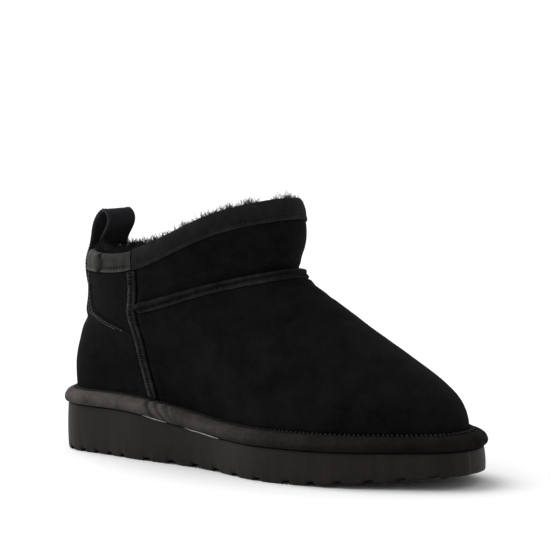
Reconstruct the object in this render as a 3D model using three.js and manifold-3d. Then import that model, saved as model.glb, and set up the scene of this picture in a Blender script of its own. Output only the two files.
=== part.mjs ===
// Sheepskin ankle boot, right foot, as an assembly of separate solids. Millimetres, +Z up.
// Everything is worked out in the last's own frame: x runs from the sole's back edge to its toe tip,
// y is measured from the straight axis (lateral side negative, medial side positive), z from the floor.
import * as THREE from "three";
import { mergeVertices } from "three/addons/utils/BufferGeometryUtils.js";
import Module from "manifold-3d";

// ---- driving dimensions ----------------------------------------------------
const SOLE_LENGTH = 268;
const HEEL_THICKNESS = 25.8; // sole under the heel
const FOREFOOT_THICKNESS = 18.2; // sole under the ball
const WEDGE_START = 55; // the heel wedge runs out between these two stations
const WEDGE_END = 145;
const TOE_SPRING = 7; // lift of the tread at the toe tip
const TOE_SPRING_START = 180;
const TOE_TOP_RISE = 1.2; // lift of the sole's upper edge at the toe tip
const TOE_RISE_START = 190;
const SOLE_FLARE = 1.2; // how far the tread's outline stands outside the sole's upper edge at the toe
const TREAD_CHAMFER = 1.2;
const NOTCH_DEPTH = 1.6; // of the notches between the lugs, in the tread's edge
const NOTCH_REACH = 11;
const WAIST_LIFT = 0.5; // arch of the tread under the waist
const WAIST = 110; // station of its crown
const WAIST_REACH = 42;

const UPPER_INSET = 6.5; // from the sole's edge to the upper at the feather line
const UPPER_WALL = 6.5; // suede with the fleece pile it carries
const GAP = 0.3; // clearance between pieces that meet
const FOXING_OVERHANG = 2; // foxing beyond the sole's upper edge
const FOXING_HEIGHT = 7.6;

const PIPING_WIDTH = 5.6;
const PIPING_PROUD = 2.6;
const SEAM_WIDTH = 5.8;
const SEAM_PROUD = 1.6;
const STRIP_EDGE = 1.1; // height of a raised strip at its edges
const STRIP_SEAT = 0.45; // clearance under it
const BINDING_DROP = 9.5; // height of the collar binding's outer leg
const BINDING_THICKNESS = 0.9;
const BINDING_LAP = 4; // how far the binding reaches over the rim
const SIDE_BINDING_TOP = 2.4; // thickness on the rim, front and sides
const BACK_BINDING_TOP = 1.1; // thickness on the rim, behind the side seams
const INSOLE_THICKNESS = 5;

const LOOP_WIDTH = 22.5;
const LOOP_STRIP = 1.8;
const LOOP_FLAT_ABOVE = 14; // height over the rim where the strip has straightened in plan
const LOOP_BACK_RADIUS = 40; // curve of its legs in plan, to lie on the heel

const ROUND = 56; // facets round the upper and the foxing

// ---- tables ----------------------------------------------------------------
// Half widths of the sole's upper edge either side of the straight axis.
const FOOTPRINT = [
  { x: 12, lateral: 26, medial: 24 },
  { x: 34, lateral: 33, medial: 33.5 },
  { x: 70, lateral: 36.2, medial: 34.5 },
  { x: 105, lateral: 37.5, medial: 31 },
  { x: 140, lateral: 43.8, medial: 34.5 },
  { x: 165, lateral: 50.8, medial: 42 },
  { x: 195, lateral: 49.6, medial: 47.5 },
  { x: 225, lateral: 40.2, medial: 44.5 },
  { x: 250, lateral: 24.4, medial: 34 },
];
const HEEL_RADIUS = 31;
const TOE_RADIUS = { lateral: 21, medial: 40 };

// The upper is a stack of closed rings from the sole (t 0) to the rim (t 1). Each meets the back and front
// profiles at these points.
const UPPER_PROFILE = [
  { t: 0.0, backX: 6.6, backZ: 26.1, frontX: 260.0, frontZ: 19.7 },
  { t: 0.1, backX: 5.8, backZ: 35.8, frontX: 259.8, frontZ: 29.4 },
  { t: 0.25, backX: 5.0, backZ: 49.0, frontX: 253.0, frontZ: 44.0 },
  { t: 0.4, backX: 7.0, backZ: 60.0, frontX: 230.0, frontZ: 59.0 },
  { t: 0.55, backX: 9.5, backZ: 68.5, frontX: 197.5, frontZ: 76.5 },
  { t: 0.66, backX: 12.2, backZ: 74.0, frontX: 165.5, frontZ: 94.0 },
  { t: 0.71, backX: 13.2, backZ: 77.5, frontX: 150.5, frontZ: 102.3 },
  { t: 0.76, backX: 14.2, backZ: 83.0, frontX: 148.2, frontZ: 107.0 },
  { t: 0.88, backX: 15.0, backZ: 97.9, frontX: 152.6, frontZ: 122.0 },
  { t: 1.0, backX: 15.8, backZ: 109.3, frontX: 149.6, frontZ: 141.0 },
];

// Each ring's half widths as an oval, how far it has changed from footprint (0) to oval (1), and how its
// height climbs to the front: rise 1 is straight, more climbs late, and level flattens both ends.
const UPPER_SECTION = [
  { t: 0.0, lateral: 45, medial: 45, oval: 0, rise: 1, level: 0 },
  { t: 0.1, lateral: 45, medial: 45, oval: 0, rise: 1, level: 0 },
  { t: 0.25, lateral: 45, medial: 44, oval: 0.12, rise: 1, level: 0 },
  { t: 0.4, lateral: 44, medial: 43, oval: 0.4, rise: 1.2, level: 0 },
  { t: 0.55, lateral: 43.4, medial: 42.5, oval: 0.75, rise: 1.5, level: 0.15 },
  { t: 0.66, lateral: 43.1, medial: 42.5, oval: 1, rise: 1.9, level: 0.3 },
  { t: 0.71, lateral: 43.7, medial: 43, oval: 1, rise: 2.1, level: 0.35 },
  { t: 0.76, lateral: 43, medial: 43, oval: 1, rise: 1.9, level: 0.45 },
  { t: 0.88, lateral: 43.4, medial: 44, oval: 1, rise: 2.1, level: 0.55 },
  { t: 1.0, lateral: 42.8, medial: 44, oval: 1, rise: 2.5, level: 0.57 },
];
const PIPING_T = 0.71;
const FOXING_TOP_T = 0.084;

// Where the side seams cross the rings, as a distance along the sole.
const SIDE_SEAM = [
  { t: 0.08, x: 80.8 },
  { t: 0.22, x: 76.9 },
  { t: 0.38, x: 75.2 },
  { t: 0.55, x: 75.6 },
  { t: 0.75, x: 76.3 },
  { t: 1.0, x: 75.3 },
];

// Notches between the lugs along both edges: first station, spacing, count and width for each zone.
const LUG_ZONES = [
  { first: 18.9, pitch: 10.4, count: 5, width: 3.4 },
  { first: 79.8, pitch: 18, count: 6, width: 5.6 },
  { first: 188.4, pitch: 14, count: 6, width: 4.4 },
];

// The pull loop's centreline in the plane of symmetry, from its outer end over the top to its inner end.
// Distances are from the rim's back edge: out is away from the foot.
const LOOP_LINE = [
  { out: 3.8, up: -20 },
  { out: 5.6, up: -12.5 },
  { out: 5.7, up: -5 },
  { out: 3.6, up: 0.6 },
  { out: 1.3, up: 6.2 },
  { out: -0.2, up: 10.7 },
  { out: -1.8, up: 15.7 },
  { out: -4.6, up: 20.1 },
  { out: -9.2, up: 22.3 },
  { out: -12.3, up: 19.1 },
  { out: -12.2, up: 15.2 },
  { out: -9.2, up: 10.4 },
  { out: -5.6, up: 5.2 },
  { out: -4.6, up: 2.9 },
];

// ---- interpolation ---------------------------------------------------------
// Natural cubic spline through (xs, ys), as a function.
function spline(xs, ys) {
  const n = xs.length;
  const bend = new Array(n).fill(0);
  const work = new Array(n).fill(0);
  for (let i = 1; i < n - 1; i++) {
    const share = (xs[i] - xs[i - 1]) / (xs[i + 1] - xs[i - 1]);
    const p = share * bend[i - 1] + 2;
    const turn = (ys[i + 1] - ys[i]) / (xs[i + 1] - xs[i]) - (ys[i] - ys[i - 1]) / (xs[i] - xs[i - 1]);
    bend[i] = (share - 1) / p;
    work[i] = ((6 * turn) / (xs[i + 1] - xs[i - 1]) - share * work[i - 1]) / p;
  }
  for (let i = n - 2; i >= 0; i--) bend[i] = bend[i] * bend[i + 1] + work[i];
  return (x) => {
    let i = 1;
    while (i < n - 1 && x > xs[i]) i++;
    const h = xs[i] - xs[i - 1];
    const a = (xs[i] - x) / h;
    const b = (x - xs[i - 1]) / h;
    const cubic = (a ** 3 - a) * bend[i - 1] + (b ** 3 - b) * bend[i];
    return a * ys[i - 1] + b * ys[i] + (cubic * h * h) / 6;
  };
}

const column = (table, key, name) => spline(table.map((row) => row[key]), table.map((row) => row[name]));
const smooth = (x) => {
  const c = Math.min(Math.max(x, 0), 1);
  return c * c * (3 - 2 * c);
};
const range = (count, from, to) => {
  const step = (to - from) / count;
  return Array.from({ length: count + 1 }, (_, i) => from + step * i);
};
const radians = THREE.MathUtils.degToRad;

// ---- the sole's surfaces ---------------------------------------------------
const soleTop = (x) =>
  FOREFOOT_THICKNESS +
  (HEEL_THICKNESS - FOREFOOT_THICKNESS) * (1 - smooth((x - WEDGE_START) / (WEDGE_END - WEDGE_START))) +
  TOE_TOP_RISE * (Math.max(0, x - TOE_RISE_START) / (SOLE_LENGTH - TOE_RISE_START)) ** 2;
const soleBottom = (x) =>
  TOE_SPRING * (Math.max(0, x - TOE_SPRING_START) / (SOLE_LENGTH - TOE_SPRING_START)) ** 1.5 +
  WAIST_LIFT * smooth(1 - Math.abs(x - WAIST) / WAIST_REACH);

// Half width over the sine of the angle, so that both ends are round with the stated radii.
function breadth(side) {
  const rows = FOOTPRINT.map((row) => {
    const u = row.x / SOLE_LENGTH;
    return { u, k: row[side] / (2 * Math.sqrt(u * (1 - u))) };
  });
  rows.unshift({ u: 0, k: Math.sqrt((HEEL_RADIUS * SOLE_LENGTH) / 2) });
  rows.push({ u: 1, k: Math.sqrt((TOE_RADIUS[side] * SOLE_LENGTH) / 2) });
  return column(rows, "u", "k");
}
const BREADTH = { lateral: breadth("lateral"), medial: breadth("medial") };
const sideOf = (angle) => (Math.sin(angle) >= 0 ? "lateral" : "medial");
const along = (angle) => (1 - Math.cos(angle)) / 2;

// A point of the sole's upper edge, moved outwards by offset. Angle 0 is the heel, pi the toe.
function edgePoint(angle, offset = 0) {
  const at = (a) =>
    new THREE.Vector2(SOLE_LENGTH * along(a), -BREADTH[sideOf(a)](along(a)) * Math.sin(a));
  const step = 1e-3;
  const tangent = at(angle + step).sub(at(angle - step)).normalize();
  return at(angle).add(new THREE.Vector2(tangent.y, -tangent.x).multiplyScalar(offset));
}

// ---- the upper's surface ---------------------------------------------------
const RING = {};
for (const table of [UPPER_PROFILE, UPPER_SECTION]) {
  for (const name of Object.keys(table[0]).slice(1)) RING[name] = column(table, "t", name);
}
const seamX = column(SIDE_SEAM, "t", "x");

// The side seams' angle round the ring at t.
function seamAngle(t) {
  const backX = RING.backX(t);
  return Math.acos(1 - (2 * (seamX(t) - backX)) / (RING.frontX(t) - backX));
}

// The outer face: t climbs from the feather line (0) to the rim (1), the angle goes round as on the sole.
function upperPoint(t, angle) {
  const u = along(angle);
  const side = sideOf(angle);
  const oval = THREE.MathUtils.clamp(RING.oval(t), 0, 1);
  const foot = BREADTH[side](u) - UPPER_INSET;
  const backX = RING.backX(t);
  const backZ = RING.backZ(t);
  const level = RING.level(t);
  const climb = THREE.MathUtils.clamp(u - (level * Math.sin(2 * Math.PI * u)) / (2 * Math.PI), 0, 1);
  const chord = soleTop(0) + (soleTop(SOLE_LENGTH) - soleTop(0)) * u;
  const sag = (1 - oval) * (soleTop(SOLE_LENGTH * u) - chord);
  return new THREE.Vector3(
    backX + (RING.frontX(t) - backX) * u,
    -((1 - oval) * foot + oval * RING[side](t)) * Math.sin(angle),
    backZ + (RING.frontZ(t) - backZ) * climb ** RING.rise(t) + sag,
  );
}

function upperNormal(t, angle) {
  const step = 1e-3;
  const low = Math.max(t - step, 0);
  const high = Math.min(t + step, 1);
  const up = upperPoint(high, angle).sub(upperPoint(low, angle));
  const round = upperPoint(t, angle + step).sub(upperPoint(t, angle - step));
  return round.cross(up).normalize();
}

// A point off the outer face: out is along the normal, which lies level at the feather line and the rim.
function offUpper(t, angle, out) {
  const tilt = smooth(t / 0.12) * smooth((1 - t) / 0.08);
  const normal = upperNormal(t, angle);
  normal.z *= tilt;
  return upperPoint(t, angle).addScaledVector(normal.normalize(), out);
}

// ---- solids from grids -----------------------------------------------------
function geometry(points, triangles) {
  const g = new THREE.BufferGeometry();
  g.setAttribute("position", new THREE.Float32BufferAttribute(points.flatMap((p) => p.toArray()), 3));
  g.setIndex(triangles.flat());
  return g;
}

// The solid between an outer and an inner grid of points, grid[i][j], seen from outside with i to the right
// and j upwards. With closed set, the last column joins the first.
function slab(outer, inner, closed = false) {
  const columns = outer.length;
  const rows = outer[0].length;
  const points = [...outer.flat(), ...inner.flat()];
  const out = (i, j) => (i % columns) * rows + j;
  const into = (i, j) => columns * rows + out(i, j);
  const triangles = [];
  const quad = (a, b, c, d) => triangles.push([a, b, c], [a, c, d]);
  for (let i = 0; i < columns - (closed ? 0 : 1); i++) {
    for (let j = 0; j < rows - 1; j++) {
      quad(out(i, j), out(i + 1, j), out(i + 1, j + 1), out(i, j + 1));
      quad(into(i, j), into(i, j + 1), into(i + 1, j + 1), into(i + 1, j));
    }
    quad(out(i, 0), into(i, 0), into(i + 1, 0), out(i + 1, 0));
    quad(out(i, rows - 1), out(i + 1, rows - 1), into(i + 1, rows - 1), into(i, rows - 1));
  }
  if (!closed) {
    for (let j = 0; j < rows - 1; j++) {
      quad(out(0, j), out(0, j + 1), into(0, j + 1), into(0, j));
      const last = columns - 1;
      quad(out(last, j), into(last, j), into(last, j + 1), out(last, j + 1));
    }
  }
  return geometry(points, triangles);
}

// The solid inside a stack of rings from bottom to top. Ring points go round from the heel by the lateral
// side; each cap is bridged straight across, from one side to the other.
function stack(rings) {
  const count = rings[0].length;
  const points = rings.flat();
  const at = (ring, i) => ring * count + ((i + count) % count);
  const triangles = [];
  for (let r = 0; r < rings.length - 1; r++) {
    for (let i = 0; i < count; i++) {
      triangles.push([at(r, i), at(r, i + 1), at(r + 1, i + 1)], [at(r, i), at(r + 1, i + 1), at(r + 1, i)]);
    }
  }
  const top = rings.length - 1;
  for (let i = 0; i < count / 2; i++) {
    const quad = [i, i + 1, -i - 1, -i];
    const fans = [[0, 1, 2], [0, 2, 3]];
    for (const fan of fans) {
      const [a, b, c] = fan.map((k) => quad[k]);
      if (new Set([a, b, c].map((k) => at(0, k))).size < 3) continue;
      triangles.push([at(top, a), at(top, b), at(top, c)], [at(0, a), at(0, c), at(0, b)]);
    }
  }
  return geometry(points, triangles);
}

// ---- manifold-3d, for the notches --------------------------------------
const wasm = await Module();
wasm.setup();

function toSolid(source) {
  const bare = new THREE.BufferGeometry().setAttribute("position", source.getAttribute("position"));
  const merged = mergeVertices(source.index ? bare.setIndex(source.index) : bare, 1e-4);
  return new wasm.Manifold(
    new wasm.Mesh({
      numProp: 3,
      vertProperties: merged.attributes.position.array,
      triVerts: new Uint32Array(merged.index.array),
    }),
  );
}

function fromSolid(solid) {
  const mesh = solid.getMesh();
  const g = new THREE.BufferGeometry();
  g.setAttribute("position", new THREE.BufferAttribute(mesh.vertProperties, 3));
  g.setIndex(new THREE.BufferAttribute(mesh.triVerts, 1));
  return g;
}

// ---- pieces ----------------------------------------------------------------
// Angles round a closed ring, from the heel by the lateral side to the toe and back.
const ringAngles = (count) => range(count, 0, 2 * Math.PI).slice(0, count);

function soleRing(share, inset, level) {
  return ringAngles(80).map((angle) => {
    const p = edgePoint(angle, -inset);
    const flare = SOLE_FLARE * (1 - share) * (p.x / SOLE_LENGTH);
    return new THREE.Vector3(p.x + flare, p.y, level(p.x));
  });
}

function outsole() {
  const waist = (x) => (soleBottom(x) + soleTop(x)) / 2;
  const body = stack([
    soleRing(0, TREAD_CHAMFER, soleBottom),
    soleRing(0, 0, (x) => soleBottom(x) + TREAD_CHAMFER),
    soleRing(0.5, 0, waist),
    soleRing(1, 0, soleTop),
  ]);
  let solid = toSolid(body);
  for (const zone of LUG_ZONES) {
    for (let i = 0; i < zone.count; i++) {
      const x = zone.first + zone.pitch * i;
      for (const side of ["lateral", "medial"]) {
        const notch = new THREE.BoxGeometry(zone.width, 2 * NOTCH_REACH, 2 * NOTCH_DEPTH);
        const u = x / SOLE_LENGTH;
        const halfWidth = BREADTH[side](u) * 2 * Math.sqrt(u * (1 - u));
        notch.translate(x, side === "lateral" ? -halfWidth : halfWidth, soleBottom(x));
        solid = solid.subtract(toSolid(notch));
      }
    }
  }
  return fromSolid(solid);
}

// The insole lies on the sole inside the upper's wall, following it at the height of each ring.
function insole() {
  const reach = UPPER_WALL + GAP + 0.5;
  const at = (lift, extra) =>
    ringAngles(48).map((angle) => {
      const p = offUpper((FOXING_TOP_T * lift) / FOXING_HEIGHT, angle, -reach - extra);
      return new THREE.Vector3(p.x, p.y, soleTop(p.x) + lift);
    });
  return stack([at(GAP, 0), at(INSOLE_THICKNESS - 1.2, 0), at(INSOLE_THICKNESS, 1.5)]);
}

// Rows of facets up the upper, closer together round the crease where the piping lies.
const UPPER_LEVELS = [...range(8, 0, 0.58), ...range(7, 0.635, 0.785), ...range(4, 0.83, 1)];

function upper() {
  const angles = ringAngles(ROUND);
  const face = (out) => angles.map((angle) => UPPER_LEVELS.map((t) => offUpper(t, angle, out)));
  return slab(face(0), face(-UPPER_WALL), true);
}

// The foxing wraps the joint of upper and sole as a soft roll. Its section is given from the upper's face
// (across 0) to the overhang (across 1), and from the sole (up 0) to its top (up 1).
const FOXING_SECTION = [
  { across: 0.84, up: 0.0 },
  { across: 0.98, up: 0.14 },
  { across: 1.0, up: 0.36 },
  { across: 0.91, up: 0.66 },
  { across: 0.68, up: 0.88 },
  { across: 0.3, up: 1.0 },
];

function foxingBand() {
  const angles = ringAngles(ROUND);
  const place = (angle, across, up) => {
    const inner = offUpper(FOXING_TOP_T * up, angle, GAP);
    const rim = edgePoint(angle, FOXING_OVERHANG);
    const x = inner.x + (rim.x - inner.x) * across;
    const y = inner.y + (rim.y - inner.y) * across;
    const foot = soleTop(THREE.MathUtils.clamp(x, 0, SOLE_LENGTH)) + GAP;
    return new THREE.Vector3(x, y, foot + FOXING_HEIGHT * up);
  };
  const outer = angles.map((a) => FOXING_SECTION.map((row) => place(a, row.across, row.up)));
  const inner = angles.map((a) => FOXING_SECTION.map((row) => place(a, 0, row.up)));
  return slab(outer, inner, true);
}

// A raised strip whose section is a low dome, along a path of (t, angle) pairs on the upper. Its width is
// laid off over the upper along t for a strip that goes round it, or along the angle for one that climbs it.
function strip(path, width, proud, widthAlong) {
  const across = range(4, 0.5, -0.5);
  const step = 1e-3;
  const face = (height) =>
    path.map(([t, angle]) => {
      const [dt, turn] = widthAlong === "t" ? [-step, 0] : [0, step];
      const speed = upperPoint(t + dt, angle + turn).distanceTo(upperPoint(t - dt, angle - turn)) / 2;
      const share = width / speed;
      return across.map((s) => offUpper(t + dt * s * share, angle + turn * s * share, height(2 * s)));
    });
  return slab(
    face((s) => STRIP_EDGE + (proud - STRIP_EDGE) * Math.sqrt(1 - 0.9 * s * s)),
    face(() => STRIP_SEAT),
  );
}

function vampPiping() {
  const clear = radians(6.2);
  const start = seamAngle(PIPING_T) + clear;
  const path = range(32, start, 2 * Math.PI - start).map((angle) => [PIPING_T, angle]);
  return strip(path, PIPING_WIDTH, PIPING_PROUD, "t");
}

// The t of a binding's lower edge at that angle.
function bindingFoot(angle) {
  const below = 0.08;
  return 1 - (BINDING_DROP * below) / upperPoint(1, angle).distanceTo(upperPoint(1 - below, angle));
}

function sideSeam(sign) {
  const top = bindingFoot(sign * seamAngle(1)) - 0.012;
  const path = range(14, FOXING_TOP_T + 0.022, top).map((t) => [
    t,
    sign * seamAngle(t),
  ]);
  return strip(path, SEAM_WIDTH, SEAM_PROUD, "angle");
}

// Bindings are folded over the rim: an outer leg down the face and a lap across the rim's top.
function binding(from, to, count, top) {
  const rimPoint = (angle, into, lift) => offUpper(1, angle, -into).add(new THREE.Vector3(0, 0, lift));
  const outer = [];
  const inner = [];
  for (const angle of range(count, from, to)) {
    const thick = GAP + BINDING_THICKNESS;
    const foot = bindingFoot(angle);
    outer.push([
      offUpper(foot, angle, GAP + 0.5),
      offUpper(foot + 0.015, angle, thick),
      offUpper(0.98, angle, thick),
      rimPoint(angle, -thick + 0.5, GAP + top * 0.7),
      rimPoint(angle, 0.6, GAP + top),
      rimPoint(angle, BINDING_LAP, GAP + top * 0.6),
    ]);
    inner.push([
      offUpper(foot, angle, GAP),
      offUpper(foot + 0.015, angle, GAP),
      offUpper(0.98, angle, GAP),
      rimPoint(angle, -GAP, GAP),
      rimPoint(angle, 0.6, GAP),
      rimPoint(angle, BINDING_LAP, GAP),
    ]);
  }
  return slab(outer, inner);
}

const BINDING_JOINT = seamAngle(1);
const JOINT_CLEARANCE = radians(0.5);

// The pull loop is one strip, bent over the back of the collar. Its legs curve to the heel in plan.
function pullLoop() {
  const rim = upperPoint(1, 0);
  const line = new THREE.CatmullRomCurve3(
    LOOP_LINE.map((row) => new THREE.Vector3(rim.x - row.out, 0, rim.z + row.up)),
  );
  const steps = 22;
  const across = range(4, -0.5, 0.5);
  const outer = [];
  const inner = [];
  for (let i = 0; i <= steps; i++) {
    const share = i / steps;
    const centre = line.getPointAt(share);
    const way = line.getTangentAt(share);
    const normal = new THREE.Vector3(-way.z, 0, way.x);
    const bow = smooth((rim.z + LOOP_FLAT_ABOVE - centre.z) / LOOP_FLAT_ABOVE);
    const place = (w, side) =>
      centre
        .clone()
        .addScaledVector(normal, (side * LOOP_STRIP) / 2)
        .add(new THREE.Vector3((bow * (w * LOOP_WIDTH) ** 2) / (2 * LOOP_BACK_RADIUS), w * LOOP_WIDTH, 0));
    outer.push(across.map((w) => place(w, 1)));
    inner.push(across.map((w) => place(w, -1)));
  }
  return slab(outer, inner);
}

// ---- assembly --------------------------------------------------------------
const suede = new THREE.MeshStandardMaterial({ color: 0x141414, roughness: 0.95, metalness: 0 });
const trim = new THREE.MeshStandardMaterial({ color: 0x262525, roughness: 0.85, metalness: 0 });
const foxingSuede = new THREE.MeshStandardMaterial({ color: 0x2f2c2a, roughness: 0.9, metalness: 0 });
const foam = new THREE.MeshStandardMaterial({ color: 0x2b2522, roughness: 0.7, metalness: 0 });
const fleece = new THREE.MeshStandardMaterial({ color: 0x3a3838, roughness: 1, metalness: 0 });

const BINDING_END = BINDING_JOINT + JOINT_CLEARANCE;
const BACK_BINDING_END = BINDING_JOINT - JOINT_CLEARANCE;
const boot = new THREE.Group();
function add(name, shape, material) {
  const mesh = new THREE.Mesh(shape, material);
  mesh.name = name;
  boot.add(mesh);
}

add("outsole", outsole(), foam);
add("insole", insole(), fleece);
add("upper", upper(), suede);
add("foxing_band", foxingBand(), foxingSuede);
add("vamp_piping", vampPiping(), suede);
add("side_seam_lateral", sideSeam(1), suede);
add("side_seam_medial", sideSeam(-1), suede);
add(
  "collar_binding",
  binding(BINDING_END, 2 * Math.PI - BINDING_END, 28, SIDE_BINDING_TOP),
  trim,
);
add(
  "back_binding",
  binding(-BACK_BINDING_END, BACK_BINDING_END, 16, BACK_BINDING_TOP),
  trim,
);
add("pull_loop", pullLoop(), suede);

// The origin is the floor point under the middle of the boot's bounding box.
const middle = new THREE.Box3().setFromObject(boot).getCenter(new THREE.Vector3());
boot.position.set(-middle.x, -middle.y, 0);

export default boot;
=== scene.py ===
"""Sheepskin ankle boot, right foot: the detailed pieces that stand for the CAD frame's solids.

Shapes are worked out in millimetres in the boot's own frame: x from the sole's back edge to its toe tip,
y from the straight axis (lateral side negative) and z from the floor. row() takes them to the row frame.
"""

import math

import bpy
import numpy as np
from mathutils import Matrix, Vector


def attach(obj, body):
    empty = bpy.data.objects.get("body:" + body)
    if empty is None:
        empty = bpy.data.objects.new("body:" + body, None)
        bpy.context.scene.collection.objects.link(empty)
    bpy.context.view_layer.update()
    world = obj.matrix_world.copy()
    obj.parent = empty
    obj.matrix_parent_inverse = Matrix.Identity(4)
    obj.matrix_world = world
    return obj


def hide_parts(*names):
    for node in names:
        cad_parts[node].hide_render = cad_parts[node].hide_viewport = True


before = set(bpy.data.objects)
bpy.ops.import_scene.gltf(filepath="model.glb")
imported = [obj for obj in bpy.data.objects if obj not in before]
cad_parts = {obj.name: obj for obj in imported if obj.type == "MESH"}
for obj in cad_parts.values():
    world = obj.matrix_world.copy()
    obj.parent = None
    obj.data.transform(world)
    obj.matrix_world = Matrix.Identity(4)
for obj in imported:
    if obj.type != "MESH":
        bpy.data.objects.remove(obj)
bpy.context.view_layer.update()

# ---- the boot's sizes, as in the CAD ---------------------------------------
MIDDLE = np.array([134.0, -2.04, 0.0])  # of the bounding box, in the boot's own frame
SOLE_LENGTH = 268.0
HEEL_THICKNESS = 25.8
FOREFOOT_THICKNESS = 18.2
WEDGE = (55.0, 145.0)
TOE_SPRING = 7.0
TOE_SPRING_START = 180.0
TOE_TOP_RISE = 1.2
TOE_RISE_START = 190.0
SOLE_FLARE = 1.2
WAIST_LIFT, WAIST, WAIST_REACH = 0.5, 110.0, 42.0
UPPER_INSET = 6.5
UPPER_WALL = 6.5
SUEDE = 3.4  # of the wall, the rest being fleece
FOXING_OVERHANG = 2.0
FOXING_HEIGHT = 7.6
FOXING_TOP_T = 0.084
PIPING_T = 0.71
BINDING_DROP = 9.5
HEEL_RADIUS = 31.0
TOE_RADIUS = {"lateral": 21.0, "medial": 40.0}

FOOTPRINT = {
    "x": (12, 34, 70, 105, 140, 165, 195, 225, 250),
    "lateral": (26, 33, 36.2, 37.5, 43.8, 50.8, 49.6, 40.2, 24.4),
    "medial": (24, 33.5, 34.5, 31, 34.5, 42, 47.5, 44.5, 34),
}
UPPER_RINGS = {
    "t": (0.0, 0.1, 0.25, 0.4, 0.55, 0.66, 0.71, 0.76, 0.88, 1.0),
    "back_x": (6.6, 5.8, 5.0, 7.0, 9.5, 12.2, 13.2, 14.2, 15.0, 15.8),
    "back_z": (26.1, 35.8, 49.0, 60.0, 68.5, 74.0, 77.5, 83.0, 97.9, 109.3),
    "front_x": (260.0, 259.8, 253.0, 230.0, 197.5, 165.5, 150.5, 148.2, 152.6, 149.6),
    "front_z": (19.7, 29.4, 44.0, 59.0, 76.5, 94.0, 102.3, 107.0, 122.0, 141.0),
    "lateral": (45, 45, 45, 44, 43.4, 43.1, 43.7, 43, 43.4, 42.8),
    "medial": (45, 45, 44, 43, 42.5, 42.5, 43, 43, 44, 44),
    "oval": (0, 0, 0.12, 0.4, 0.75, 1, 1, 1, 1, 1),
    "rise": (1, 1, 1, 1.2, 1.5, 1.9, 2.1, 1.9, 2.1, 2.5),
    "level": (0, 0, 0, 0, 0.15, 0.3, 0.35, 0.45, 0.55, 0.57),
}
SIDE_SEAM = {"t": (0.08, 0.22, 0.38, 0.55, 0.75, 1.0), "x": (80.8, 76.9, 75.2, 75.6, 76.3, 75.3)}
LUG_ZONES = [
    {"first": 18.9, "pitch": 10.4, "count": 5, "width": 3.4},
    {"first": 79.8, "pitch": 18.0, "count": 6, "width": 5.6},
    {"first": 188.4, "pitch": 14.0, "count": 6, "width": 4.4},
]
NOTCHES = [(z["first"] + z["pitch"] * i, z["width"]) for z in LUG_ZONES for i in range(z["count"])]
NOTCH_DEPTH = 1.6
NOTCH_REACH = 11.0
NOTCH_WALL = 0.6  # plan width of a notch's sloping side
CHANNEL_SHARE = 0.35  # of the notch's depth, in the channel that leads on from it
LOOP_LINE = {
    "out": (3.8, 5.6, 5.7, 3.6, 1.3, -0.2, -1.8, -4.6, -9.2, -12.3, -12.2, -9.2, -5.6, -4.6),
    "up": (-20, -12.5, -5, 0.6, 6.2, 10.7, 15.7, 20.1, 22.3, 19.1, 15.2, 10.4, 5.2, 2.9),
}
LOOP_WIDTH = 22.5
LOOP_BACK_RADIUS = 40.0


# ---- interpolation and noise -----------------------------------------------
def spline(xs, ys):
    """Natural cubic spline through (xs, ys), for whole arrays."""
    xs, ys = np.asarray(xs, float), np.asarray(ys, float)
    n = len(xs)
    h = np.diff(xs)
    rows, right = np.eye(n), np.zeros(n)
    for i in range(1, n - 1):
        rows[i, i - 1 : i + 2] = h[i - 1], 2 * (h[i - 1] + h[i]), h[i]
        right[i] = 6 * ((ys[i + 1] - ys[i]) / h[i] - (ys[i] - ys[i - 1]) / h[i - 1])
    bend = np.linalg.solve(rows, right)

    def at(x):
        x = np.asarray(x, float)
        i = np.clip(np.searchsorted(xs, x) - 1, 0, n - 2)
        a, b = (xs[i + 1] - x) / h[i], (x - xs[i]) / h[i]
        cubic = (a**3 - a) * bend[i] + (b**3 - b) * bend[i + 1]
        return a * ys[i] + b * ys[i + 1] + cubic * h[i] ** 2 / 6

    return at


def smooth(x):
    c = np.clip(x, 0, 1)
    return c * c * (3 - 2 * c)


def bump(x, width):
    """A soft ridge: 1 at x = 0, falling away over width."""
    return np.exp(-((x / width) ** 2))


def travelled(points):
    """How far along a line of points each of them lies."""
    return np.concatenate([[0], np.cumsum(np.linalg.norm(np.diff(points, axis=0), axis=-1))])


LATTICE = np.random.default_rng(11).random((32, 32, 32)) * 2 - 1


def noise(p, size):
    """Smooth noise from -1 to 1 with features of that size in millimetres."""
    q = np.asarray(p, float) / size
    i = np.floor(q).astype(int)
    f = smooth(q - i)
    total = 0
    for dx in (0, 1):
        for dy in (0, 1):
            for dz in (0, 1):
                weight = 1
                for k, d in enumerate((dx, dy, dz)):
                    weight = weight * (f[..., k] if d else 1 - f[..., k])
                corner = LATTICE[(i[..., 0] + dx) % 32, (i[..., 1] + dy) % 32, (i[..., 2] + dz) % 32]
                total = total + weight * corner
    return total


# ---- the boot's surfaces ---------------------------------------------------
def sole_top(x):
    rise = np.maximum(0, x - TOE_RISE_START) / (SOLE_LENGTH - TOE_RISE_START)
    wedge = 1 - smooth((x - WEDGE[0]) / (WEDGE[1] - WEDGE[0]))
    return FOREFOOT_THICKNESS + (HEEL_THICKNESS - FOREFOOT_THICKNESS) * wedge + TOE_TOP_RISE * rise**2


def sole_bottom(x):
    rise = np.maximum(0, x - TOE_SPRING_START) / (SOLE_LENGTH - TOE_SPRING_START)
    return TOE_SPRING * rise**1.5 + WAIST_LIFT * smooth(1 - np.abs(x - WAIST) / WAIST_REACH)


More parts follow.
